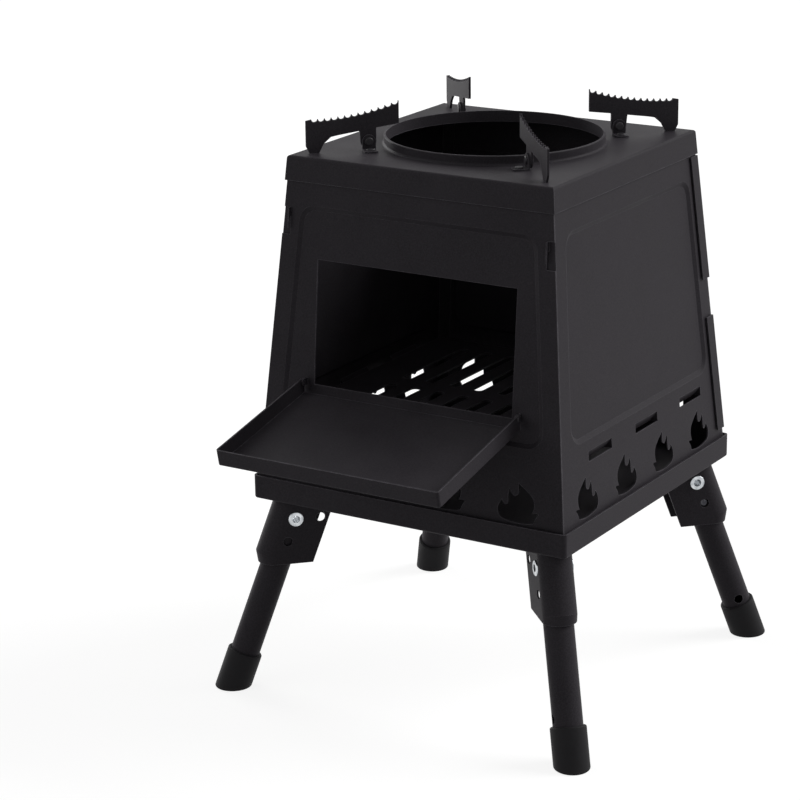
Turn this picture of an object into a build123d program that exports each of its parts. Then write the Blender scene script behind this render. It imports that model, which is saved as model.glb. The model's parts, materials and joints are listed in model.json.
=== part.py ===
from build123d import *
import math
import os

# Folding camp fire pit: a tapered sheet steel box in a base tray, on four folding tube legs.
# Millimetres, +Z up, the front and its fold-down door face -Y. The model is made about the
# stove's own axis, with the ground at Z = 0, and moved at the end, so that the origin is the
# middle of the ground it covers with the door down.

# Sheet metal
SHEET = 1.2
BASE_SHEET = 1.5
FIT = 0.3                 # gap between sheets that move past each other
RUNNING = 0.05            # radial gap of a pin in a hole that turns on it

# Base tray
BASE_SIZE = 300.0
BASE_HEIGHT = 20.5
WALL_GAP = 0.7            # foot of the walls to the inside of the tray
BASE_BEND_R = BASE_SHEET + WALL_GAP
BASE_CORNER_R = BASE_SHEET + 3 * WALL_GAP

# Body walls
WALL_FOOT_HALF = BASE_SIZE / 2 - BASE_SHEET - WALL_GAP
WALL_TOP_HALF = 122.9
WALL_HEIGHT = 291.2
FLANGE_WIDTH = 12.0       # inward flange of a side wall behind the front and back walls
PRESS_DEPTH = 2.0         # pressed field of a wall
PRESS_SLOPE = 63.0        # its edge, in degrees from the wall's normal
PRESS_LOW = 82.0          # heights above the tray floor
PRESS_HIGH = 253.0
PRESS_CORNER_R = 15.0
PRESS_INSET_FRONT = 15.5
PRESS_INSET_SIDE = 17.4

# Window and fold-down door
WINDOW_HALF = 94.1
WINDOW_LOW = 104.3
WINDOW_HIGH = 208.9
DOOR_HALF = 103.3
DOOR_REACH = 126.7        # hinge axis to front edge
DOOR_WALL = 14.0
DOOR_KNUCKLE_R = 3.0
DOOR_TILT = 12.2          # front edge below level when open
DOOR_AXIS_HEIGHT = 106.4  # above the tray floor
DOOR_PIN_R = 1.2
DOOR_PIN_HEAD_R = 2.6
DOOR_PIN_HEAD = 1.0

# Flame shaped vents along the foot of every wall
VENT_PITCH = 67.8
VENT_COUNT = 4
VENT_LOW = 21.7           # above the tray floor

# Louvres pressed inward on the side walls, which carry the grate
LOUVRE_PITCH = 82.0
LOUVRE_COUNT = 3
LOUVRE_LENGTH = 40.0
LOUVRE_RISE = 8.5
LOUVRE_SHIFT = 5.5        # the row to one side of the wall's middle
LOUVRE_DEPTH = 7.0
LOUVRE_LOW = 64.2

# Corner hooks of the side walls and lapping strips of the back wall
HOOK_LOW = 232.7
HOOK_HIGH = 249.5
HOOK_INSET = 5.0
HOOK_PROUD = 3.0
NOTCH_DEPTH = 8.0
NOTCH_DROP = 5.5
STRIP_WIDTH = 12.0
STRIP_STAND = 0.8
STRIP_SPANS = ((26.0, 129.0), (163.0, 270.6))

# Grate
GRATE_HALF = 137.0
GRATE_THICK = 1.5
GRATE_SLOT_WIDTH = 9.0
GRATE_SLOT_LENGTH = 105.0
GRATE_SLOT_PITCH = 24.0
GRATE_SLOT_COUNT = 9

# Top plate
TOP_SKIRT = 20.6
TOP_BEND_R = 2.5
RING_R = 90.5
COLLAR_HEIGHT = 8.3
COLLAR_SHEET = 1.7
COLLAR_FLARE_R = 2.5

# Pot supports, in the upright plane of a diagonal: distances from the stove's axis and
# heights above the top plate
SUPPORT_THICK = 2.0
SUPPORT_INNER = 82.0
SUPPORT_OUTER = 160.0
SUPPORT_PIVOT = 107.5
SUPPORT_PIVOT_HEIGHT = 7.6
SUPPORT_TAB_HALF = 6.6
SUPPORT_INNER_TOP = 39.9
SUPPORT_OUTER_TOP = 28.2
SUPPORT_SAG = 3.0         # how far the toothed edge dips below its chord
SUPPORT_INNER_LOW = 21.0
SUPPORT_WAIST = 14.0
SUPPORT_FOOT = 8.0
TOOTH_COUNT = 13
TOOTH_DEPTH = 2.3
TOOTH_TIP = 0.6
SUPPORT_END_FLAT = 4.7
EAR_WIDTH = 11.4
EAR_SHEET = 1.5
EAR_FOOT = 12.0
SUPPORT_RIVET_R = 1.5
SUPPORT_HEAD_R = 3.5
SUPPORT_HEAD = 1.3

# Legs: distances out from the stove's axis along a diagonal, and along the leg from its pivot
LEG_SPLAY = 20.24
LEG_REACH = 162.2         # pivot to ground, along the leg
PIVOT_OUT = 178.8
PIVOT_DROP = 17.4         # pivot below the tray's underside
TUBE_R = 12.5
TUBE_WALL = 1.2
TUBE_TOP = 9.0
TUBE_END = 150.0
CAP_R = 15.0
CAP_TOP = 128.4
CAP_EDGE_R = 1.5
DRAIN_HOLE_R = 4.0
DRAIN_HOLE_AT = 122.0
BRACKET_SHEET = 1.5
BRACKET_GAP = 0.5         # tube to bracket wing
BRACKET_BACK = 5.5        # centre of the rounded back, out from the leg's axis
BRACKET_INNER = 27.0
BRACKET_HEIGHT = 57.5     # tray's underside to its level foot
LIP_AT = 39.5             # where its foot is drawn in, along the leg from the pivot
LIP_DRAW = 0.55           # inward per unit along the leg
BRACKET_TONGUE = 16.0
PIVOT_R = 4.0
PIVOT_BORE_R = 3.3
PIVOT_HEAD_R = 6.5
PIVOT_HEAD = 1.2
LOCK_AT = 21.2
LOCK_HOLE_R = 4.0
BUTTON_R = 3.8
BUTTON_FLANGE_R = 5.2
BUTTON_FLANGE = 1.0
BUTTON_BELOW = 0.3        # dome below the wing's inner face, so the leg can turn
SPRING_SHEET = 0.6
SPRING_WIDTH = 8.0
SPRING_LENGTH = 36.0
RIVET_R = 2.0
RIVET_HEAD_R = 4.0
RIVET_HEAD = 1.6

CORNERS = {"front_left": 225.0, "front_right": 315.0, "back_right": 45.0, "back_left": 135.0}
# The side of its plate that each support bracket stands on
EAR_SIDE = {"front_left": 1, "front_right": -1, "back_right": -1, "back_left": 1}

# Heights that follow
splay = math.radians(LEG_SPLAY)
pivot_z = LEG_REACH * math.cos(splay)
base_bottom = pivot_z + PIVOT_DROP
floor_z = base_bottom + BASE_SHEET
wall_top_z = floor_z + WALL_HEIGHT
top_z = wall_top_z + SHEET
taper = math.atan((WALL_FOOT_HALF - WALL_TOP_HALF) / WALL_HEIGHT)
far = 4 * BASE_SIZE


def wall_half(height):
    """Half the body's width at a height above the tray floor."""
    return WALL_FOOT_HALF - height * math.tan(taper)


def up_wall(height):
    """Distance up a leaning wall for a height above the tray floor."""
    return height / math.cos(taper)


def side_at(up):
    """Half the wall's width at a distance up its own face."""
    return WALL_FOOT_HALF - up * math.sin(taper)


# The front wall's own frame: X along it, Y up its outer face, Z outward
wall = Plane(
    origin=(0, -WALL_FOOT_HALF, floor_z),
    x_dir=(1, 0, 0),
    z_dir=(0, -math.cos(taper), math.sin(taper)),
)
wall_up = up_wall(WALL_HEIGHT)
parts = {}


def on_wall(shape, turn=0.0):
    """Puts a shape from the wall's frame on the front wall, or on the wall a turn round."""
    return Rot(0, 0, turn) * (wall.location * shape)


def standing(panel):
    """Cuts a leaning wall level where it stands on the tray floor."""
    return panel - slab((-far, -far, -far), (far, far, floor_z))


def prism(points, depth, low=0.0):
    """A straight-sided block over a closed outline in the XY plane."""
    outline = Polyline(*points, close=True)
    return Pos(0, 0, low) * extrude(make_face(outline), depth)


def disc(radius, depth, at=(0, 0, 0), axis="Z"):
    """A cylinder that starts at a point and runs up an axis."""
    turns = {"Z": Rot(0, 0, 0), "Y": Rot(-90, 0, 0), "X": Rot(0, 90, 0)}
    body = Cylinder(radius, depth, align=(Align.CENTER, Align.CENTER, Align.MIN))
    return Pos(*at) * turns[axis] * body


def slab(low, high):
    """A block between two corners."""
    size = [b - a for a, b in zip(low, high)]
    middle = [(a + b) / 2 for a, b in zip(low, high)]
    return Pos(*middle) * Box(*size)


def tray(half, height, sheet, corner_r, bend_r, low):
    """An open tray bent from sheet, with its outer faces at half and low."""
    outer = Pos(0, 0, low + height / 2) * Box(2 * half, 2 * half, height)
    outer = fillet(outer.edges().filter_by(Axis.Z), corner_r)
    outer = fillet(outer.faces().sort_by(Axis.Z)[0].edges(), bend_r)
    inner_half = half - sheet
    inner = Pos(0, 0, low + sheet + height / 2) * Box(2 * inner_half, 2 * inner_half, height)
    inner = fillet(inner.edges().filter_by(Axis.Z), corner_r - sheet)
    inner = fillet(inner.faces().sort_by(Axis.Z)[0].edges(), bend_r - sheet)
    return outer - inner


def flame():
    """The vent's outline, its middle near X = 0 and its foot at Y = 0."""
    strokes = (
        ((-17.2, 0.6), (-18.4, 4.2), (-21.6, 8.6)),
        ((-21.6, 8.6), (-18.2, 9.3), (-15.2, 8.2)),
        ((-15.2, 8.2), (-17.0, 12.8), (-16.6, 19.0), (-8.2, 27.6), (-2.2, 31.7)),
        ((-2.2, 31.7), (-2.6, 26.6), (-1.8, 22.0), (0.6, 20.7), (3.4, 22.4), (5.6, 26.3)),
        ((5.6, 26.3), (6.8, 21.4), (6.9, 15.4), (8.4, 12.4), (10.6, 13.4), (12.2, 16.4)),
        ((12.2, 16.4), (14.9, 12.4), (16.1, 7.6), (14.8, 3.4), (12.0, 0.8)),
        ((12.0, 0.8), (3.0, -1.0), (-8.5, -1.0), (-17.2, 0.6)),
    )
    edges = [Spline(*stroke) for stroke in strokes]
    return make_face(Curve() + edges)


def vents(mirrored):
    """The row of vents of one wall, as blocks to cut away."""
    blocks = []
    for i in range(VENT_COUNT):
        x = (i - (VENT_COUNT - 1) / 2) * VENT_PITCH
        block = extrude(flame(), 2 * SHEET)
        if mirrored:
            block = mirror(block, about=Plane.YZ)
        blocks.append(Pos(x, up_wall(VENT_LOW), -1.5 * SHEET) * block)
    return blocks


def pressed_field(inset):
    """The cut and the bulge that press a rounded field into a wall."""
    low, high = up_wall(PRESS_LOW), up_wall(PRESS_HIGH)
    corners = [
        (-side_at(low) + inset, low),
        (side_at(low) - inset, low),
        (side_at(high) - inset, high),
        (-side_at(high) + inset, high),
    ]
    field = make_face(Polyline(*corners, close=True))
    field = fillet(field.vertices(), PRESS_CORNER_R)
    sunk = extrude(field, -PRESS_DEPTH, taper=PRESS_SLOPE)
    return sunk, Pos(0, 0, -SHEET) * sunk


def wall_sheet(inset, edge_trim, mirrored_vents):
    """One wall with its pressed field and vents, in the wall's frame."""
    low_half, high_half = side_at(0) - edge_trim, side_at(wall_up) - edge_trim
    corners = [(-low_half, 0), (low_half, 0), (high_half, wall_up), (-high_half, wall_up)]
    sheet = prism(corners, SHEET, -SHEET)
    cut, bulge = pressed_field(inset)
    sheet = sheet + bulge - cut
    for block in vents(mirrored_vents):
        sheet -= block
    return sheet


def notches():
    """The two corner notches of a front or back wall, as blocks to cut away."""
    low, high = up_wall(HOOK_LOW - NOTCH_DROP), up_wall(HOOK_HIGH + FIT)
    edge = side_at(low)
    right = slab((edge - NOTCH_DEPTH, low, -2 * SHEET), (edge + SHEET, high, SHEET))
    return right + mirror(right, about=Plane.YZ)


def make_front_panel():
    panel = wall_sheet(PRESS_INSET_FRONT, 0, True) - notches()
    window_low, window_high = up_wall(WINDOW_LOW), up_wall(WINDOW_HIGH)
    panel -= slab((-WINDOW_HALF, window_low, -far), (WINDOW_HALF, window_high, far))
    panel = on_wall(panel)
    for side in (-1, 1):
        panel += Pos(side * lug_x, 0, 0) * door_lug()
        pin_hole = disc(DOOR_PIN_R + RUNNING, 2 * SHEET, (side * lug_x - SHEET, 0, 0), "X")
        panel -= Pos(0, door_axis_y, door_axis_z) * pin_hole
    return standing(panel)


# The door hangs on two lugs of the front wall, just inside its side walls
door_axis_z = floor_z + DOOR_AXIS_HEIGHT
door_axis_y = -wall_half(DOOR_AXIS_HEIGHT) - (DOOR_KNUCKLE_R + FIT) / math.cos(taper)
lug_x = DOOR_HALF - SHEET - FIT - SHEET / 2
door_closing_angle = 90 + DOOR_TILT + math.degrees(taper)


def door_lug():
    """A rounded ear that stands out of the front wall's pressed field, about X = 0."""
    reach = DOOR_KNUCKLE_R + FIT + PRESS_DEPTH + SHEET / 2
    ear = disc(DOOR_KNUCKLE_R, SHEET, (-SHEET / 2, 0, 0), "X")
    ear += slab((-SHEET / 2, 0, -DOOR_KNUCKLE_R), (SHEET / 2, reach, DOOR_KNUCKLE_R))
    lean = -math.degrees(taper)
    return Pos(0, door_axis_y, door_axis_z) * Rot(lean, 0, 0) * ear


def make_back_panel():
    panel = wall_sheet(PRESS_INSET_FRONT, 0, True) - notches()
    proud = (STRIP_STAND + SHEET) / math.cos(taper)
    for low, high in STRIP_SPANS:
        low, high = up_wall(low), up_wall(high)
        corners = [
            (side_at(low) - SHEET, low),
            (side_at(low) + proud, low),
            (side_at(high) + proud, high),
            (side_at(high) - SHEET, high),
        ]
        ear = prism(corners, SHEET, -SHEET)
        panel += ear
        panel += mirror(ear, about=Plane.YZ)
    panel = on_wall(panel, 180)
    for low, high in STRIP_SPANS:
        low, high = up_wall(low), up_wall(high)
        corners = [
            (side_at(low) - STRIP_WIDTH, low),
            (side_at(low), low),
            (side_at(high), high),
            (side_at(high) - STRIP_WIDTH, high),
        ]
        strip = on_wall(prism(corners, SHEET, STRIP_STAND), 90)
        panel += strip
        panel += mirror(strip, about=Plane.YZ)
    return standing(panel)


def louvre():
    """The cut and the hood of one louvre, its lower edge at Y = 0."""
    half = LOUVRE_LENGTH / 2
    hollow = [(0, SHEET), (LOUVRE_RISE, 0), (0, -LOUVRE_DEPTH)]
    skin = [(0, 0), (LOUVRE_RISE + SHEET, 0), (0, -LOUVRE_DEPTH - SHEET)]
    to_side = Plane(origin=(-half, 0, 0), x_dir=(0, 1, 0), z_dir=(1, 0, 0))
    hood_side = Plane(origin=(-half - SHEET, 0, 0), x_dir=(0, 1, 0), z_dir=(1, 0, 0))
    cut = to_side.location * prism(hollow, LOUVRE_LENGTH)
    hood = hood_side.location * prism(skin, LOUVRE_LENGTH + 2 * SHEET)
    return cut, hood


def corner_hook():
    """The hook that a side wall's flange puts through a front or back wall's notch."""
    low, high = up_wall(HOOK_LOW), up_wall(HOOK_HIGH)
    root = low + (high - low) * 0.55
    outline = [
        (root, -2 * SHEET),
        (high, -2 * SHEET),
        (high, HOOK_PROUD),
        (low, HOOK_PROUD),
        (low, HOOK_PROUD - SHEET),
        (root, HOOK_PROUD - SHEET),
    ]
    x = side_at(high) - HOOK_INSET - SHEET
    side = Plane(origin=(x, 0, 0), x_dir=(0, 1, 0), z_dir=(1, 0, 0))
    return side.location * prism(outline, SHEET)


def make_side_panel(turn):
    panel = wall_sheet(PRESS_INSET_SIDE, (SHEET + RUNNING) / math.cos(taper), False)
    cut, hood = louvre()
    for i in range(LOUVRE_COUNT):
        x = (i - (LOUVRE_COUNT - 1) / 2) * LOUVRE_PITCH + LOUVRE_SHIFT
        place = Pos(x, up_wall(LOUVRE_LOW), 0)
        panel = panel + place * hood - place * cut
    panel = on_wall(panel, 90)
    corners = [
        (side_at(0) - SHEET - FLANGE_WIDTH, 0),
        (side_at(0) - SHEET / 2, 0),
        (side_at(wall_up) - SHEET / 2, wall_up),
        (side_at(wall_up) - SHEET - FLANGE_WIDTH, wall_up),
    ]
    flange = on_wall(prism(corners, SHEET, -2 * SHEET) + corner_hook())
    panel += flange
    panel += mirror(flange, about=Plane.XZ)
    return Rot(0, 0, turn) * standing(panel)


def make_grate():
    """A slotted plate that rests on the sloping backs of the louvres."""
    contact = wall_half(LOUVRE_LOW) - GRATE_HALF
    slope = LOUVRE_RISE / LOUVRE_DEPTH
    low = floor_z + LOUVRE_LOW + (LOUVRE_DEPTH + SHEET - contact) * slope + 2 * FIT
    plate = slab((-GRATE_HALF, -GRATE_HALF, low), (GRATE_HALF, GRATE_HALF, low + GRATE_THICK))
    slot = SlotOverall(GRATE_SLOT_LENGTH, GRATE_SLOT_WIDTH, rotation=90)
    row = GRATE_SLOT_LENGTH / 2 + GRATE_SLOT_WIDTH
    for i in range(GRATE_SLOT_COUNT):
        x = (i - (GRATE_SLOT_COUNT - 1) / 2) * GRATE_SLOT_PITCH
        for y in (-row, row):
            plate -= Pos(x, y, low - SHEET) * extrude(slot, 3 * SHEET)
    return plate


def frustum(half_low, height, low):
    """A square block that tapers as the walls do."""
    square = Rectangle(2 * half_low, 2 * half_low)
    return Pos(0, 0, low) * extrude(square, height, taper=math.degrees(taper))


def make_top_plate():
    skirt_low = top_z - TOP_SKIRT
    inner_half = wall_half(skirt_low - floor_z) + FIT
    outer = frustum(inner_half + SHEET, TOP_SKIRT, skirt_low)
    outer = fillet(outer.faces().sort_by(Axis.Z)[-1].edges(), TOP_BEND_R)
    cap = outer - frustum(inner_half, TOP_SKIRT - SHEET, skirt_low)
    collar_r = RING_R + COLLAR_SHEET
    cap += disc(collar_r, SHEET + COLLAR_HEIGHT, (0, 0, wall_top_z))
    rim = [e for e in cap.edges().filter_by(GeomType.CIRCLE) if abs(e.radius - collar_r) < 0.01]
    rim.sort(key=lambda e: e.center().Z)
    cap = fillet(rim[-1], COLLAR_SHEET / 2)
    foot = [
        e
        for e in cap.edges().filter_by(GeomType.CIRCLE)
        if abs(e.radius - collar_r) < 0.01 and abs(e.center().Z - top_z) < 0.01
    ]
    cap = fillet(foot, COLLAR_FLARE_R)
    cap -= disc(RING_R, far, (0, 0, wall_top_z - far / 2))
    for corner, turn in CORNERS.items():
        place = Rot(0, 0, turn) * Pos(SUPPORT_PIVOT, EAR_SIDE[corner] * ear_rivet, 0)
        cap -= place * disc(SUPPORT_RIVET_R + RUNNING, far, (0, 0, wall_top_z - far / 2))
    return cap


# A support's bracket stands beside its plate, with its foot turned away from it
ear_near = SUPPORT_THICK / 2 + FIT
ear_rivet = ear_near + EAR_SHEET + EAR_FOOT / 2


def beside(shape, side):
    """Keeps a support part's side, or mirrors it to the other side of its plate."""
    return shape if side > 0 else mirror(shape, about=Plane.XZ)


def upright(shape):
    """Stands an outline block of distance out and height up beside the diagonal's plane."""
    return Pos(0, 0, top_z) * Rot(90, 0, 0) * shape


def make_pot_support():
    tip_run = SUPPORT_OUTER - SUPPORT_END_FLAT - SUPPORT_INNER
    pitch = tip_run / TOOTH_COUNT

    def edge_height(out):
        share = (out - SUPPORT_INNER) / tip_run
        chord = SUPPORT_INNER_TOP + share * (SUPPORT_OUTER_TOP - SUPPORT_INNER_TOP)
        return chord - 4 * SUPPORT_SAG * share * (1 - share)

    tips = [SUPPORT_INNER + i * pitch for i in range(TOOTH_COUNT + 1)]
    edges = []
    for a, b in zip(tips[:-1], tips[1:]):
        middle = (a + b) / 2
        start = (a + TOOTH_TIP / 2, edge_height(a))
        valley = (middle, edge_height(middle) - TOOTH_DEPTH)
        end = (b - TOOTH_TIP / 2, edge_height(b))
        edges.append(Line((a - TOOTH_TIP / 2, edge_height(a)), start))
        edges.append(ThreePointArc(start, valley, end))
    tab_low = SUPPORT_PIVOT_HEIGHT - SUPPORT_TAB_HALF
    tab_in, tab_out = SUPPORT_PIVOT - SUPPORT_TAB_HALF, SUPPORT_PIVOT + SUPPORT_TAB_HALF
    foot_in = SUPPORT_OUTER - 1.5 * SUPPORT_FOOT
    waist_high = SUPPORT_WAIST + 2.5
    chamfer = 3.0
    outline = [
        (tips[-1] - TOOTH_TIP / 2, edge_height(tips[-1])),
        (SUPPORT_OUTER, SUPPORT_OUTER_TOP - 1.0),
        (SUPPORT_OUTER, 2 * chamfer),
        (SUPPORT_OUTER - chamfer, 0),
        (SUPPORT_OUTER - chamfer - SUPPORT_FOOT, 0),
        (foot_in - chamfer, SUPPORT_WAIST * 0.55),
        (foot_in - 3 * chamfer, SUPPORT_WAIST * 0.92),
        (foot_in - 5 * chamfer, SUPPORT_WAIST),
        (tab_out + 1.0, waist_high),
        (tab_out, SUPPORT_PIVOT_HEIGHT),
    ]
    edges += [Line(a, b) for a, b in zip(outline[:-1], outline[1:])]
    edges.append(ThreePointArc(outline[-1], (SUPPORT_PIVOT, tab_low), (tab_in, SUPPORT_PIVOT_HEIGHT)))
    inner = [
        (tab_in, SUPPORT_PIVOT_HEIGHT),
        (tab_in, waist_high + 2.0),
        (SUPPORT_INNER - TOOTH_TIP / 2, SUPPORT_INNER_LOW),
        (SUPPORT_INNER - TOOTH_TIP / 2, edge_height(SUPPORT_INNER)),
    ]
    edges += [Line(a, b) for a, b in zip(inner[:-1], inner[1:])]
    plate = extrude(make_face(Curve() + edges), SUPPORT_THICK)
    hole = disc(SUPPORT_RIVET_R + RUNNING, far, (SUPPORT_PIVOT, SUPPORT_PIVOT_HEIGHT, -far / 2))
    return upright(Pos(0, 0, -SUPPORT_THICK / 2) * (plate - hole))


def make_support_bracket(side):
    half = EAR_WIDTH / 2
    ear = Rectangle(EAR_WIDTH, SUPPORT_PIVOT_HEIGHT, align=(Align.CENTER, Align.MIN))
    ear += Pos(0, SUPPORT_PIVOT_HEIGHT) * Circle(half)
    hole = disc(SUPPORT_RIVET_R + RUNNING, far, (0, SUPPORT_PIVOT_HEIGHT, -far / 2))
    ear = extrude(ear, EAR_SHEET) - hole
    ear = Pos(SUPPORT_PIVOT, ear_near + EAR_SHEET, 0) * upright(ear)
    foot_low, foot_high = ear_near, ear_near + EAR_SHEET + EAR_FOOT
    foot = slab(
        (SUPPORT_PIVOT - half, foot_low, top_z),
        (SUPPORT_PIVOT + half, foot_high, top_z + EAR_SHEET),
    )
    foot = fillet(foot.edges().filter_by(Axis.Z).sort_by(Axis.Y)[-2:], half * 0.6)
    foot -= disc(SUPPORT_RIVET_R + RUNNING, far, (SUPPORT_PIVOT, ear_rivet, 0))
    return beside(ear + foot, side)


def make_support_pivot(side):
    """The rivet that a support turns on, with a head at each end."""
    z = top_z + SUPPORT_PIVOT_HEIGHT
    ear_far = ear_near + EAR_SHEET
    free_end = -SUPPORT_THICK / 2 - RUNNING
    pin = disc(SUPPORT_RIVET_R, ear_far - free_end, (SUPPORT_PIVOT, free_end, z), "Y")
    head = disc(SUPPORT_HEAD_R, SUPPORT_HEAD, (0, 0, 0), "Y")
    head = fillet(head.edges().sort_by(Axis.Y)[-1], SUPPORT_HEAD * 0.6)
    pin += Pos(SUPPORT_PIVOT, ear_far, z) * head
    pin += Pos(SUPPORT_PIVOT, free_end, z) * mirror(head, about=Plane.XZ)
    return beside(pin, side)


def make_foot_rivet(side):
    """The rivet that holds a support's bracket on the top plate."""
    low, high = wall_top_z, top_z + EAR_SHEET
    rivet = disc(SUPPORT_RIVET_R, high - low, (0, 0, low))
    head = disc(SUPPORT_HEAD_R, SUPPORT_HEAD)
    head = fillet(head.edges().sort_by(Axis.Z)[-1], SUPPORT_HEAD * 0.6)
    rivet += Pos(0, 0, high) * head
    rivet += Pos(0, 0, low) * mirror(head, about=Plane.XY)
    return Pos(SUPPORT_PIVOT, side * ear_rivet, 0) * rivet


# The leg's own frame: origin at its pivot, X out across it, Y along its pivot, Z up the leg
leg = Plane(
    origin=(PIVOT_OUT, 0, pivot_z),
    x_dir=(math.cos(splay), 0, math.sin(splay)),
    z_dir=(-math.sin(splay), 0, math.cos(splay)),
)
fold_angle = 90 + LEG_SPLAY
wing_in = TUBE_R + BRACKET_GAP
wing_out = wing_in + BRACKET_SHEET
bracket_reach = BRACKET_BACK + wing_out
tongue_out = PIVOT_OUT - BRACKET_INNER / math.cos(splay) - PIVOT_DROP * math.tan(splay)
rivet_out = tongue_out - BRACKET_TONGUE / 2
rivet_side = wing_in / 2


def lock_holes():
    """Through-holes for the lock button, with the leg down and with it folded."""
    hole = disc(LOCK_HOLE_R, far, (0, -far / 2, -LOCK_AT), "Y")
    return hole + Rot(0, fold_angle, 0) * hole


def make_leg_bracket():
    """A channel bent round the leg, its foot drawn in to stop the leg and cut level."""
    section = Pos(BRACKET_BACK, 0) * Circle(wing_out)
    section += slab_face(-BRACKET_INNER, BRACKET_BACK, wing_out)
    hollow = Pos(BRACKET_BACK, 0) * Circle(wing_in)
    hollow += slab_face(-2 * far, BRACKET_BACK, wing_in)
    profile = Pos(0, 0, -LIP_AT) * (section - hollow)
    shape = extrude(profile, LIP_AT + 3 * PIVOT_DROP)
    shape += extrude(profile, BRACKET_HEIGHT, dir=(-LIP_DRAW, 0, -1)) & slab(
        (-BRACKET_INNER, -far, -far), (far, far, far)
    )
    shape -= disc(PIVOT_R + RUNNING, far, (0, -far / 2, 0), "Y")
    shape -= lock_holes()
    shape = leg.location * shape
    shape &= slab((-far, -far, base_bottom - BRACKET_HEIGHT), (far, far, base_bottom))
    tongue = slab(
        (tongue_out - BRACKET_TONGUE, -wing_out, base_bottom - BRACKET_SHEET),
        (PIVOT_OUT, wing_out, base_bottom),
    )
    tongue = fillet(tongue.edges().filter_by(Axis.Z).sort_by(Axis.X)[:2], RIVET_HEAD_R)
    for y in (-rivet_side, rivet_side):
        tongue -= disc(RIVET_R + RUNNING, far, (rivet_out, y, base_bottom - far / 2))
    return shape + tongue


def slab_face(x_low, x_high, half):
    """A rectangle from one X to another, about Y = 0."""
    return Pos((x_low + x_high) / 2, 0) * Rectangle(x_high - x_low, 2 * half)


def make_bracket_rivet(side):
    low, high = base_bottom - BRACKET_SHEET, floor_z
    rivet = disc(RIVET_R, high - low, (0, 0, low))
    head = disc(RIVET_HEAD_R, RIVET_HEAD)
    head = fillet(head.edges().sort_by(Axis.Z)[-1], RIVET_HEAD * 0.7)
    rivet += Pos(0, 0, high) * head
    rivet += Pos(0, 0, low) * mirror(head, about=Plane.XY)
    return Pos(rivet_out, side * rivet_side, 0) * rivet


def make_leg_pivot():
    """A tubular rivet through both wings and the tube."""
    pin = disc(PIVOT_R, 2 * wing_out, (0, -wing_out, 0), "Y")
    head = disc(PIVOT_HEAD_R, PIVOT_HEAD, (0, 0, 0), "Y")
    head = fillet(head.edges().sort_by(Axis.Y)[-1], PIVOT_HEAD * 0.7)
    pin += Pos(0, wing_out, 0) * head
    pin += Pos(0, -wing_out, 0) * mirror(head, about=Plane.XZ)
    pin -= disc(PIVOT_BORE_R, far, (0, -far / 2, 0), "Y")
    return leg.location * pin


def make_leg_tube():
    tube = disc(TUBE_R, TUBE_TOP + TUBE_END, (0, 0, -TUBE_END))
    tube -= disc(TUBE_R - TUBE_WALL, far, (0, 0, -far / 2))
    tube -= disc(PIVOT_R + RUNNING, far, (0, -far / 2, 0), "Y")
    tube -= disc(BUTTON_R + RUNNING, far, (0, -far, -LOCK_AT), "Y")
    tube -= disc(DRAIN_HOLE_R, far, (0, -far, -DRAIN_HOLE_AT), "Y")
    return leg.location * tube


def make_foot_cap():
    """A closed cap over the tube's end, cut level where it stands on the ground."""
    beyond = LEG_REACH + 2 * CAP_R
    cap = disc(CAP_R, beyond - CAP_TOP, (0, 0, -beyond))
    cap = fillet(cap.edges().sort_by(Axis.Z)[-1], CAP_EDGE_R)
    cap = leg.location * cap
    cap -= slab((-far, -far, -far), (far, far, 0))
    cap = fillet(cap.faces().sort_by(Axis.Z)[0].edges(), CAP_EDGE_R)
    return cap - leg.location * disc(TUBE_R, far, (0, 0, -TUBE_END))


flange_face = math.sqrt((TUBE_R - TUBE_WALL) ** 2 - BUTTON_FLANGE_R**2) - RUNNING
flange_back = flange_face - BUTTON_FLANGE


def make_lock_button():
    reach = wing_in - BUTTON_BELOW
    button = disc(BUTTON_R, reach - flange_back, (0, flange_back, 0), "Y")
    button = fillet(button.edges().sort_by(Axis.Y)[-1], BUTTON_R * 0.35)
    button += disc(BUTTON_FLANGE_R, BUTTON_FLANGE, (0, flange_back, 0), "Y")
    return leg.location * Pos(0, 0, -LOCK_AT) * mirror(button, about=Plane.XZ)


def make_lock_spring():
    """A leaf bent into a U inside the tube, from the far wall to the button's flange."""
    far_side = math.sqrt((TUBE_R - TUBE_WALL) ** 2 - (SPRING_WIDTH / 2) ** 2) - RUNNING
    middle = (far_side - flange_back) / 2
    bend_r = (far_side + flange_back) / 2
    top, bend = -LOCK_AT + BUTTON_FLANGE_R, -LOCK_AT - SPRING_LENGTH
    ring = Pos(middle, bend) * (Circle(bend_r) - Circle(bend_r - SPRING_SHEET))
    ring &= Pos(middle, bend - bend_r) * Rectangle(2 * bend_r, 2 * bend_r)
    arm = Rectangle(SPRING_SHEET, top - bend, align=(Align.MAX, Align.MIN))
    ring += Pos(far_side, bend) * arm
    ring += Pos(-flange_back + SPRING_SHEET, bend) * arm
    side = Plane(origin=(-SPRING_WIDTH / 2, 0, 0), x_dir=(0, 1, 0), z_dir=(1, 0, 0))
    return leg.location * (side.location * extrude(ring, SPRING_WIDTH))


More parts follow.
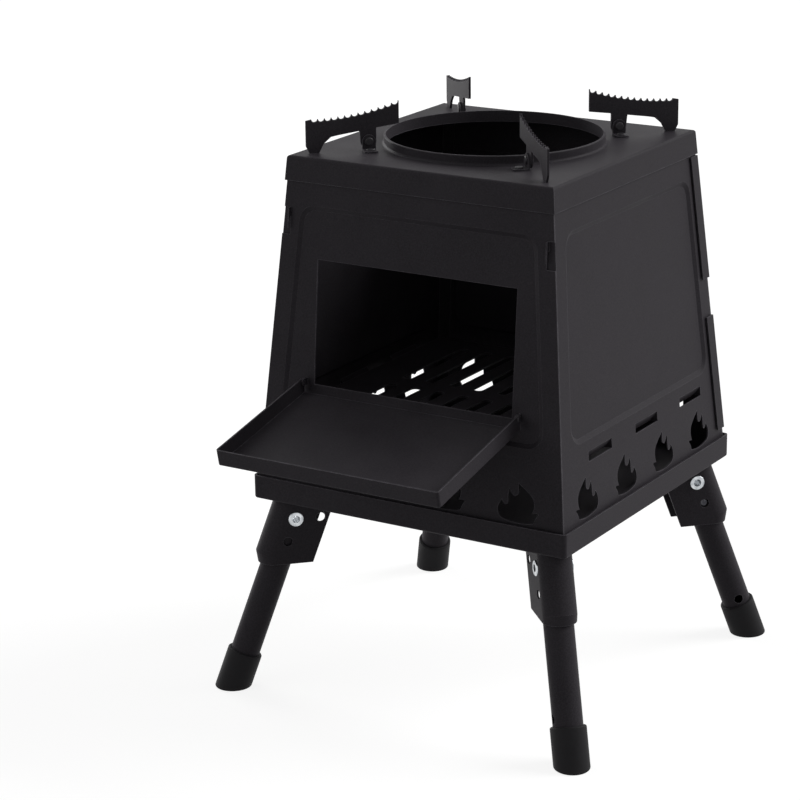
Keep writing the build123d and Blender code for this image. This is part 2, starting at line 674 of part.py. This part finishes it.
def make_door():
    """The door tray about its hinge axis, swung open, with its back end cut to the wall."""
    plate_low = DOOR_KNUCKLE_R - DOOR_WALL
    outer = slab((-DOOR_HALF, -DOOR_REACH, plate_low), (DOOR_HALF, DOOR_WALL, DOOR_KNUCKLE_R))
    outer = fillet(outer.edges().filter_by(Axis.Z).sort_by(Axis.Y)[:2], BASE_BEND_R)
    outer = fillet(outer.faces().sort_by(Axis.Z)[0].edges().sort_by(Axis.Y)[:-1], BASE_BEND_R / 2)
    hollow = slab(
        (-DOOR_HALF + SHEET, -DOOR_REACH + SHEET, plate_low + SHEET),
        (DOOR_HALF - SHEET, far, far),
    )
    door = outer - hollow
    above = slab((-far, 0, 0), (far, far, far)) - disc(DOOR_KNUCKLE_R, 2 * far, (-far, 0, 0), "X")
    door -= above
    door -= disc(DOOR_PIN_R + RUNNING, 2 * far, (-far, 0, 0), "X")
    door = Pos(0, door_axis_y, door_axis_z) * Rot(DOOR_TILT, 0, 0) * door
    behind = wall.location * slab((-far, -far, -far), (far, far, FIT))
    return door - behind


def make_door_pins():
    """Two rivets, fixed in the wall's lugs, that the door's side walls turn on."""
    inner = lug_x - SHEET / 2
    pin = disc(DOOR_PIN_R, DOOR_HALF + RUNNING - inner, (inner, 0, 0), "X")
    head = disc(DOOR_PIN_HEAD_R, DOOR_PIN_HEAD, (0, 0, 0), "X")
    head = fillet(head.edges().sort_by(Axis.X)[-1], DOOR_PIN_HEAD * 0.6)
    pin += Pos(DOOR_HALF + RUNNING, 0, 0) * head
    pin = Pos(0, door_axis_y, door_axis_z) * pin
    return Compound(children=[pin, mirror(pin, about=Plane.YZ)])


def make_base_tray():
    base = tray(BASE_SIZE / 2, BASE_HEIGHT, BASE_SHEET, BASE_CORNER_R, BASE_BEND_R, base_bottom)
    for turn in CORNERS.values():
        for side in (-rivet_side, rivet_side):
            base -= Rot(0, 0, turn) * disc(RIVET_R + RUNNING, far, (rivet_out, side, 0))
    return base


parts["base_tray"] = make_base_tray()
parts["front_panel"] = make_front_panel()
parts["back_panel"] = make_back_panel()
parts["right_panel"] = make_side_panel(0)
parts["left_panel"] = make_side_panel(180)
parts["fire_grate"] = make_grate()
parts["top_plate"] = make_top_plate()
parts["door_tray"] = make_door()
parts["door_pins"] = make_door_pins()
for corner, turn in CORNERS.items():
    side = EAR_SIDE[corner]
    diagonal = Rot(0, 0, turn)
    parts["leg_bracket_" + corner] = diagonal * make_leg_bracket()
    parts["leg_pivot_" + corner] = diagonal * make_leg_pivot()
    parts["leg_tube_" + corner] = diagonal * make_leg_tube()
    parts["foot_cap_" + corner] = diagonal * make_foot_cap()
    parts["lock_button_" + corner] = diagonal * make_lock_button()
    parts["lock_spring_" + corner] = diagonal * make_lock_spring()
    parts["support_bracket_" + corner] = diagonal * make_support_bracket(side)
    parts["support_pivot_" + corner] = diagonal * make_support_pivot(side)
    parts["pot_support_" + corner] = diagonal * make_pot_support()
parts["bracket_rivets"] = Compound(
    children=[
        Rot(0, 0, turn) * make_bracket_rivet(side)
        for turn in CORNERS.values()
        for side in (-1, 1)
    ]
)
parts["support_rivets"] = Compound(
    children=[Rot(0, 0, turn) * make_foot_rivet(EAR_SIDE[c]) for c, turn in CORNERS.items()]
)

# The origin is the middle of the ground that the open stove covers
reach = Compound(children=[parts["door_tray"].moved(Location()), *[
    parts["foot_cap_" + corner].moved(Location()) for corner in CORNERS
]]).bounding_box()
to_origin = Pos(-(reach.min.X + reach.max.X) / 2, -(reach.min.Y + reach.max.Y) / 2, 0)

os.makedirs("parts", exist_ok=True)
for name, shape in parts.items():
    export_step(to_origin * shape, f"parts/{name}.step")

print("moved by", to_origin.position)
print("ground to pivot", pivot_z, "tray underside", base_bottom, "floor", floor_z, "top", top_z)
print("door axis", door_axis_y, door_axis_z, "closes by", door_closing_angle)
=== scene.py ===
"""A folding camp fire pit: its paint, rivets, rubber and studio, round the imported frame."""

import json
import math

import bpy
from mathutils import Matrix, Vector

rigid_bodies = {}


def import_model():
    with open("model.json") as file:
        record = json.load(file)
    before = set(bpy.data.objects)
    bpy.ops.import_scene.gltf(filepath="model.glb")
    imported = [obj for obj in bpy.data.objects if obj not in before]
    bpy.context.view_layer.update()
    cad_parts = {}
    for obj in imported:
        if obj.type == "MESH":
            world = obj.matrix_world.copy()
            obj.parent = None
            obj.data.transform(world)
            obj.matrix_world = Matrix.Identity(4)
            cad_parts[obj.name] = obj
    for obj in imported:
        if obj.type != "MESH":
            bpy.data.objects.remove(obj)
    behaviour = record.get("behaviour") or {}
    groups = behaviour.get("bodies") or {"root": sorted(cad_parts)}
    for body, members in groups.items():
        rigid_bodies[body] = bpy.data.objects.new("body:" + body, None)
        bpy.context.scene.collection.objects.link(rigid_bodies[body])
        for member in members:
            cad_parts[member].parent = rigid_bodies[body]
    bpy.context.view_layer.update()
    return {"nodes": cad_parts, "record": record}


for leftover in list(bpy.data.objects):
    bpy.data.objects.remove(leftover)

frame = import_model()
MM = 0.001


def srgb(code):
    """An sRGB hex colour as the linear RGBA that the shaders take."""
    values = [int(code[i:i + 2], 16) / 255 for i in (1, 3, 5)]
    linear = [v / 12.92 if v <= 0.04045 else ((v + 0.055) / 1.055) ** 2.4 for v in values]
    return (*linear, 1.0)


def add(tree, kind, settings=None, inputs=None):
    """Adds one node, with its settings, and its sockets set or linked."""
    node = tree.nodes.new(kind)
    for name, value in (settings or {}).items():
        setattr(node, name, value)
    for name, value in (inputs or {}).items():
        if isinstance(value, bpy.types.NodeSocket):
            tree.links.new(value, node.inputs[name])
        else:
            node.inputs[name].default_value = value
    return node


def per_metre(size_mm):
    """Noise scale whose features are about this many millimetres across."""
    return 1 / (size_mm * MM)


def empty_material(name):
    material = bpy.data.materials.new(name)
    material.use_nodes = True
    material.node_tree.nodes.clear()
    return material, material.node_tree


def speckle(tree, place, size_mm, detail=2.0, roughness=0.5):
    """Noise with features of a real size, on the part's own coordinates."""
    return add(tree, "ShaderNodeTexNoise", {"noise_dimensions": "3D"}, {
        "Vector": place,
        "Scale": per_metre(size_mm),
        "Detail": detail,
        "Roughness": roughness,
    }).outputs["Fac"]


def between(tree, amount, low, high, at=(0.0, 1.0)):
    """Maps a value from one range to another."""
    return add(tree, "ShaderNodeMapRange", {"clamp": True}, {
        "Value": amount,
        "From Min": at[0],
        "From Max": at[1],
        "To Min": low,
        "To Max": high,
    }).outputs["Result"]


def blend_colour(tree, amount, first, second):
    """First colour where amount is 0, second where it is 1."""
    mix = add(tree, "ShaderNodeMix", {"data_type": "RGBA"})
    for socket, value in ((0, amount), (6, first), (7, second)):
        if isinstance(value, bpy.types.NodeSocket):
            tree.links.new(value, mix.inputs[socket])
        else:
            mix.inputs[socket].default_value = value
    return mix.outputs[2]


def two_values(tree, operation, first, second):
    """One sum on two linked values, such as MULTIPLY or MAXIMUM."""
    node = add(tree, "ShaderNodeMath", {"operation": operation})
    tree.links.new(first, node.inputs[0])
    tree.links.new(second, node.inputs[1])
    return node.outputs[0]


def edge_highlight_mask(tree, radius_mm, start, end):
    """1 on sharp edges and 0 on flats, from how far a rounded edge would turn the surface; it places the
    painted edge highlight.
    """
    rounded = add(tree, "ShaderNodeBevel", {"samples": 4}, {"Radius": radius_mm * MM})
    flat = add(tree, "ShaderNodeNewGeometry")
    agree = add(tree, "ShaderNodeVectorMath", {"operation": "DOT_PRODUCT"})
    tree.links.new(rounded.outputs["Normal"], agree.inputs[0])
    tree.links.new(flat.outputs["Normal"], agree.inputs[1])
    return between(tree, agree.outputs["Value"], 0.0, 1.0, (start, end))


def sprayed_steel(name, dark, light, grain_and_highlight_colour, roughness, specular):
    """Silicone stove paint sprayed on cold rolled sheet: dead matt, faintly clouded, with a fine
    grain like sandpaper, and a painted highlight: a lighter line along cut edges and bends."""
    material, tree = empty_material(name)
    place = add(tree, "ShaderNodeTexCoord").outputs["Object"]
    clouds = between(tree, speckle(tree, place, 45.0, 3.0), 0.0, 1.0, (0.32, 0.68))
    coat = blend_colour(tree, clouds, srgb(dark), srgb(light))
    # Grit of about 0.2 mm would vanish between pixels, so it is drawn 1.2 mm coarse.
    grit = speckle(tree, place, 1.2, 2.0, 0.6)
    coat = blend_colour(tree, between(tree, grit, 0.0, 0.10, (0.35, 0.75)), coat, srgb(grain_and_highlight_colour))
    # The painted edge highlight is about 0.9 mm wide, and comes and goes in patches of 9 mm.
    painted_edge_highlight = edge_highlight_mask(tree, 0.9, 0.985, 0.88)
    patchy = between(tree, speckle(tree, place, 9.0, 2.0), 0.55, 1.0, (0.38, 0.62))
    patchy_edge_highlight = two_values(tree, "MULTIPLY", painted_edge_highlight, patchy)
    # Painted highlight: edges are lightened towards the pale colour, standing in for the light caught on
    # the sheet's edges and bends.
    colour = blend_colour(tree, patchy_edge_highlight, coat, srgb(grain_and_highlight_colour))
    # Rolled sheet is never quite flat: long waves of 90 mm, under the 1.2 mm grain.
    waves = add(tree, "ShaderNodeBump", {}, {
        "Height": speckle(tree, place, 90.0, 1.0),
        "Strength": 0.5,
        "Distance": 0.6 * MM,
    }).outputs["Normal"]
    grain = add(tree, "ShaderNodeBump", {}, {
        "Height": grit,
        "Strength": 0.35,
        "Distance": 0.06 * MM,
        "Normal": waves,
    }).outputs["Normal"]
    shader = add(tree, "ShaderNodeBsdfPrincipled", {}, {
        "Base Color": colour,
        "Roughness": between(tree, clouds, roughness - 0.04, roughness + 0.05),
        "Specular IOR Level": specular,
        "Normal": grain,
    })
    add(tree, "ShaderNodeOutputMaterial", {}, {"Surface": shader.outputs["BSDF"]})
    return material


def plated_zinc(name):
    """Bright zinc plate on a rolled steel rivet: pale blue grey metal with soft highlights, a
    little dull in patches and finely scuffed by the setting tool."""
    material, tree = empty_material(name)
    place = add(tree, "ShaderNodeTexCoord").outputs["Object"]
    dull = between(tree, speckle(tree, place, 4.0, 3.0), 0.0, 1.0, (0.35, 0.65))
    scuffs = speckle(tree, place, 0.7, 3.0, 0.65)
    shader = add(tree, "ShaderNodeBsdfPrincipled", {}, {
        "Base Color": blend_colour(tree, dull, srgb("#d3d6d9"), srgb("#a9adb1")),
        "Metallic": 1.0,
        "Roughness": between(tree, dull, 0.22, 0.38),
        "Normal": add(tree, "ShaderNodeBump", {}, {
            "Height": scuffs,
            "Strength": 0.3,
            "Distance": 0.04 * MM,
        }).outputs["Normal"],
    })
    add(tree, "ShaderNodeOutputMaterial", {}, {"Surface": shader.outputs["BSDF"]})
    return material


def blacked_spring_steel(name):
    """Spring steel blacked in oil: nearly black metal with a narrow, smooth highlight."""
    material, tree = empty_material(name)
    place = add(tree, "ShaderNodeTexCoord").outputs["Object"]
    oily = between(tree, speckle(tree, place, 3.0, 2.0), 0.0, 1.0, (0.35, 0.65))
    shader = add(tree, "ShaderNodeBsdfPrincipled", {}, {
        "Base Color": blend_colour(tree, oily, srgb("#4a4a4e"), srgb("#333337")),
        "Metallic": 1.0,
        "Roughness": between(tree, oily, 0.24, 0.36),
    })
    add(tree, "ShaderNodeOutputMaterial", {}, {"Surface": shader.outputs["BSDF"]})
    return material


def moulded_rubber(name):
    """Black rubber, moulded in a spark-eroded tool: soft dull black with a fine leathery grain
    that spreads its highlight wide."""
    material, tree = empty_material(name)
    place = add(tree, "ShaderNodeTexCoord").outputs["Object"]
    # Spark erosion leaves a grain of about 0.3 mm, drawn 1.0 mm coarse so that it shows.
    grain = speckle(tree, place, 1.0, 2.0, 0.55)
    dusty = between(tree, speckle(tree, place, 12.0, 3.0), 0.0, 1.0, (0.35, 0.7))
    shader = add(tree, "ShaderNodeBsdfPrincipled", {}, {
        "Base Color": blend_colour(tree, dusty, srgb("#1e1d1f"), srgb("#282729")),
        "Roughness": between(tree, dusty, 0.56, 0.68),
        "Specular IOR Level": 0.12,
        "Normal": add(tree, "ShaderNodeBump", {}, {
            "Height": grain,
            "Strength": 0.4,
            "Distance": 0.08 * MM,
        }).outputs["Normal"],
    })
    add(tree, "ShaderNodeOutputMaterial", {}, {"Surface": shader.outputs["BSDF"]})
    return material


FINISHES = {
    "black_paint": sprayed_steel(
        "silicone_stove_paint",
        dark="#302d31",
        light="#383539",
        # This pale colour serves both as the grit's fleck and as the painted edge highlight.
        grain_and_highlight_colour="#77747a",
        roughness=0.52,
        specular=0.07,
    ),
    "black_rivet": sprayed_steel(
        "painted_rivet_heads",
        dark="#2a282b",
        light="#323034",
        grain_and_highlight_colour="#5f5c62",
        roughness=0.36,
        specular=0.25,
    ),
    "zinc_rivet": plated_zinc("bright_zinc_plate"),
    "black_rubber": moulded_rubber("moulded_black_rubber"),
    "spring_steel": blacked_spring_steel("oil_blacked_spring_steel"),
}

for part in frame["record"]["subparts"]:
    piece = frame["nodes"][part["node"]]
    piece.data.materials.clear()
    piece.data.materials.append(FINISHES[part["material_slot"]])


# Studio

def seen_directly(tree):
    """1 for what the camera, a gloss or a clear piece sees, and 0 for what lights the object."""
    path = add(tree, "ShaderNodeLightPath").outputs
    either = two_values(tree, "MAXIMUM", path["Is Camera Ray"], path["Is Glossy Ray"])
    return two_values(tree, "MAXIMUM", either, path["Is Transmission Ray"])


SKY_LIGHT = 0.19
BACKDROP_GLOW = 1.0
FLOOR_GLOW = 0.86
FLOOR_RADIUS = 30.0
FLOOR_SIDES = 96
LIT_PLACE = Vector((0.0, 0.04, 0.28))
KEY_STRENGTH = 1.75
KEY_SPREAD_DEGREES = 36.0
KEY_FROM = Vector((0.63, 0.56, 0.54))
FILL_WATTS = 10.0
SIDE_WATTS = 42.0

world = bpy.data.worlds.new("studio")
bpy.context.scene.world = world
world.use_nodes = True
sky = world.node_tree
sky.nodes.clear()
soft_light = add(sky, "ShaderNodeBackground", {}, {"Color": srgb("#fdfdff"), "Strength": SKY_LIGHT})
backdrop = add(sky, "ShaderNodeBackground", {}, {"Color": srgb("#fefefe"), "Strength": BACKDROP_GLOW})
shown = add(sky, "ShaderNodeMixShader", {}, {"Fac": seen_directly(sky)})
sky.links.new(soft_light.outputs[0], shown.inputs[1])
sky.links.new(backdrop.outputs[0], shown.inputs[2])
add(sky, "ShaderNodeOutputWorld", {}, {"Surface": shown.outputs[0]})

floor_mesh = bpy.data.meshes.new("floor")
turns = [2 * math.pi * i / FLOOR_SIDES for i in range(FLOOR_SIDES)]
rim = [(FLOOR_RADIUS * math.cos(turn), FLOOR_RADIUS * math.sin(turn), 0.0) for turn in turns]
floor_mesh.from_pydata(rim, [], [list(range(FLOOR_SIDES))])
floor = bpy.data.objects.new("floor", floor_mesh)
bpy.context.scene.collection.objects.link(floor)

paper, paper_tree = empty_material("white_paper_floor")
paper_light = add(paper_tree, "ShaderNodeBsdfDiffuse", {}, {"Color": srgb("#9a9a99")})
paper_glow = add(paper_tree, "ShaderNodeEmission", {}, {"Color": srgb("#fefefe"), "Strength": FLOOR_GLOW})
paper_dark = add(paper_tree, "ShaderNodeEmission", {}, {"Color": srgb("#000000"), "Strength": 0.0})
paper_seen = add(paper_tree, "ShaderNodeMixShader", {}, {"Fac": seen_directly(paper_tree)})
paper_tree.links.new(paper_dark.outputs[0], paper_seen.inputs[1])
paper_tree.links.new(paper_glow.outputs[0], paper_seen.inputs[2])
paper_sum = add(paper_tree, "ShaderNodeAddShader")
paper_tree.links.new(paper_light.outputs[0], paper_sum.inputs[0])
paper_tree.links.new(paper_seen.outputs[0], paper_sum.inputs[1])
add(paper_tree, "ShaderNodeOutputMaterial", {}, {"Surface": paper_sum.outputs[0]})
floor_mesh.materials.append(paper)


def place_lamp(data, place, towards):
    """Puts a lamp at a place, with its light going towards a point."""
    lamp = bpy.data.objects.new(data.name, data)
    lamp.location = place
    lamp.rotation_mode = "QUATERNION"
    lamp.rotation_quaternion = (Vector(towards) - Vector(place)).to_track_quat("-Z", "Y")
    bpy.context.scene.collection.objects.link(lamp)


def softbox(name, place, size, watts):
    """A square studio softbox that faces the object."""
    data = bpy.data.lights.new(name, "AREA")
    data.shape = "SQUARE"
    data.size = size
    data.energy = watts
    place_lamp(data, place, LIT_PLACE)


key = bpy.data.lights.new("key_right_above", "SUN")
key.energy = KEY_STRENGTH
key.angle = math.radians(KEY_SPREAD_DEGREES)
place_lamp(key, LIT_PLACE + KEY_FROM, LIT_PLACE)
softbox("fill_front_left", (-2.0, -2.4, 1.6), 2.4, FILL_WATTS)
softbox("side_left", (-3.2, 1.0, 1.0), 1.8, SIDE_WATTS)

# Camera, from a fit of the stove's corners in the photograph: round from the front, up from the
# ground, tilt of the horizon, and metres from AIM, to its right and above it
AZIMUTH = math.radians(32.06)
ELEVATION = math.radians(17.44)
ROLL = math.radians(-0.76)
DISTANCE = 2.34367
ASIDE = -0.08139
ALOFT = -0.01361
AIM = Vector((0.0, 0.0426587, 0.2527913))
LENS_MM = 123.34
SENSOR_MM = 36.0

backward = Vector((
    math.sin(AZIMUTH) * math.cos(ELEVATION),
    -math.cos(AZIMUTH) * math.cos(ELEVATION),
    math.sin(ELEVATION),
))
level_right = Vector((math.cos(AZIMUTH), math.sin(AZIMUTH), 0.0))
level_up = backward.cross(level_right)
right = level_right * math.cos(ROLL) + level_up * math.sin(ROLL)
up = level_up * math.cos(ROLL) - level_right * math.sin(ROLL)
eye = AIM + backward * DISTANCE + right * ASIDE + up * ALOFT

lens = bpy.data.cameras.new("camera")
lens.sensor_width = SENSOR_MM
lens.lens = LENS_MM
lens.clip_start = 0.05
lens.clip_end = 100.0
camera = bpy.data.objects.new("camera", lens)
bpy.context.scene.collection.objects.link(camera)
camera.matrix_world = Matrix((
    (right.x, up.x, backward.x, eye.x),
    (right.y, up.y, backward.y, eye.y),
    (right.z, up.z, backward.z, eye.z),
    (0.0, 0.0, 0.0, 1.0),
))
bpy.context.scene.camera = camera
bpy.context.scene.view_settings.view_transform = "Standard"
